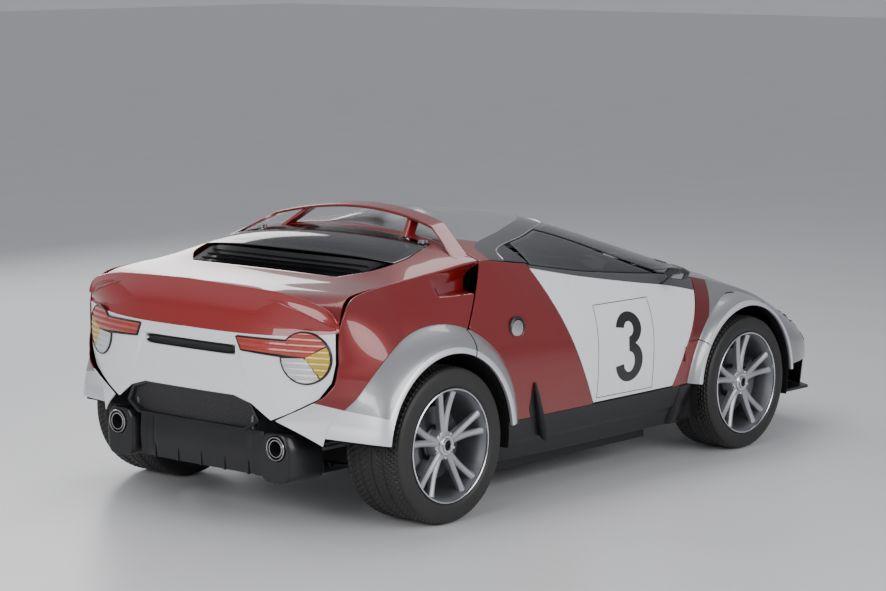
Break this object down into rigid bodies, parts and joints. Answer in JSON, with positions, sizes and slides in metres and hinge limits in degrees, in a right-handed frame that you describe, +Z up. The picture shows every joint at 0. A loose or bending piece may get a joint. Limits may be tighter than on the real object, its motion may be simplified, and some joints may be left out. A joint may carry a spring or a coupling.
{
  "type": "mid-engined rally coupe",
  "caption": "Low wedge-shaped rally coupe with flared arches, twin-spoke wheels, front-hinged doors, lifting bonnet, tilting rear clamshell and ducktail.",
  "frame": {"origin": "bottom centre of the whole car, on the ground", "axes": "+Y towards the tail, +Z up, +X towards the left-hand side of the car"},
  "size_m": [2, 3.97, 1.332],
  "materials": {
    "paint_red": "gloss clear-coated deep red",
    "paint_white": "gloss clear-coated white",
    "paint_silver": "metallic silver grey, clear-coated",
    "black_trim": "satin black moulded panel",
    "grey_trim": "satin dark grey moulding",
    "tinted_glass": "dark tinted, polished",
    "rubber_tyre": "moulded tread rubber",
    "cast_rim": "machined and lacquered aluminium",
    "bare_steel": "turned and welded steel",
    "cast_alloy": "sand-cast aluminium",
    "lamp_lens": "ribbed coloured lens",
    "seat_cloth": "woven upholstery",
    "cabin_black": "grained black trim",
    "tub_carbon": "dark composite tub"
  },
  "bodies": {
    "chassis": {"floor_tub": "tub_carbon", "side_sills": "black_trim", "roof_panel": "paint_silver", "windscreen": "tinted_glass", "cowl": "grey_trim", "quarter_right": "paint_red", "quarter_left": "paint_red", "front_lower_wings": "paint_red", "front_bumper": "black_trim", "splitter": "black_trim", "rear_valance": "black_trim", "exhausts": "bare_steel", "engine_block": "cast_alloy", "gearbox": "cast_alloy", "rear_wishbones": "bare_steel", "rear_uprights": "cast_alloy", "driveshafts": "bare_steel", "front_wishbones": "bare_steel", "dashboard": "cabin_black", "steering_column": "bare_steel", "seat_right": "seat_cloth", "seat_left": "seat_cloth", "nose_panel": "paint_silver", "front_fenders": "paint_silver", "front_flares": "paint_silver", "headlamps": "lamp_lens", "door_hinges": "bare_steel"},
    "bonnet_lid": {"bonnet": "paint_silver", "bonnet_hinges": "bare_steel"},
    "rear_clam": {"rear_deck": "paint_red", "rear_quarters": "paint_red", "rear_flares": "paint_silver", "ducktail": "paint_red", "tail_panel": "paint_white", "tail_lamps": "lamp_lens", "roof_hoop": "paint_red", "louvre_panel": "black_trim", "rear_window": "tinted_glass", "rear_hinges": "bare_steel"},
    "right_door": {"door_right": "paint_white", "door_glass_right": "tinted_glass", "mirror_right": "grey_trim"},
    "left_door": {"door_left": "paint_white", "door_glass_left": "tinted_glass", "mirror_left": "grey_trim"},
    "right_knuckle": {"knuckle_right": "cast_alloy"},
    "left_knuckle": {"knuckle_left": "cast_alloy"},
    "helm": {"steering_wheel": "cabin_black"},
    "front_right_wheel": {"rim_front_right": "cast_rim", "tyre_front_right": "rubber_tyre"},
    "front_left_wheel": {"rim_front_left": "cast_rim", "tyre_front_left": "rubber_tyre"},
    "rear_right_wheel": {"rim_rear_right": "cast_rim", "tyre_rear_right": "rubber_tyre"},
    "rear_left_wheel": {"rim_rear_left": "cast_rim", "tyre_rear_left": "rubber_tyre"}
  },
  "joints": [
    {"name": "steer_right", "type": "hinge", "parent": "chassis", "child": "right_knuckle", "pos_m": [-0.62, -0.9875, 0.338], "axis": [0, 0, 1], "range_deg": [-30, 30]},
    {"name": "steer_left", "type": "hinge", "parent": "chassis", "child": "left_knuckle", "pos_m": [0.62, -0.9875, 0.338], "axis": [0, 0, 1], "range_deg": [-30, 30]},
    {"name": "steering_wheel_turn", "type": "hinge", "parent": "chassis", "child": "helm", "pos_m": [0.33, -0.3725, 0.7], "axis": [0, -0.9272, -0.3746], "range_deg": [-450, 450]},
    {"name": "spin_front_right", "type": "hinge", "parent": "right_knuckle", "child": "front_right_wheel", "pos_m": [-0.82, -0.9875, 0.338], "axis": [1, 0, 0], "continuous": true},
    {"name": "spin_front_left", "type": "hinge", "parent": "left_knuckle", "child": "front_left_wheel", "pos_m": [0.82, -0.9875, 0.338], "axis": [1, 0, 0], "continuous": true},
    {"name": "spin_rear_right", "type": "hinge", "parent": "chassis", "child": "rear_right_wheel", "pos_m": [-0.82, 1.3225, 0.352], "axis": [1, 0, 0], "continuous": true},
    {"name": "spin_rear_left", "type": "hinge", "parent": "chassis", "child": "rear_left_wheel", "pos_m": [0.82, 1.3225, 0.352], "axis": [1, 0, 0], "continuous": true},
    {"name": "door_right_hinge", "type": "hinge", "parent": "chassis", "child": "right_door", "pos_m": [-0.92944, -0.4925, 0.55031], "axis": [0, 0, 1], "range_deg": [0, 62]},
    {"name": "door_left_hinge", "type": "hinge", "parent": "chassis", "child": "left_door", "pos_m": [0.92944, -0.4925, 0.55031], "axis": [0, 0, -1], "range_deg": [0, 62]},
    {"name": "bonnet_hinge", "type": "hinge", "parent": "chassis", "child": "bonnet_lid", "pos_m": [0, -1.9285, 0.446], "axis": [1, 0, 0], "range_deg": [0, 50]},
    {"name": "rear_clam_hinge", "type": "hinge", "parent": "chassis", "child": "rear_clam", "pos_m": [0, 1.9325, 0.455], "axis": [-1, 0, 0], "range_deg": [0, 48]}
  ],
  "couplings": [
    {"joint": "steer_left", "follows": "steer_right", "ratio": 1},
    {"joint": "steering_wheel_turn", "follows": "steer_right", "ratio": 15}
  ]
}
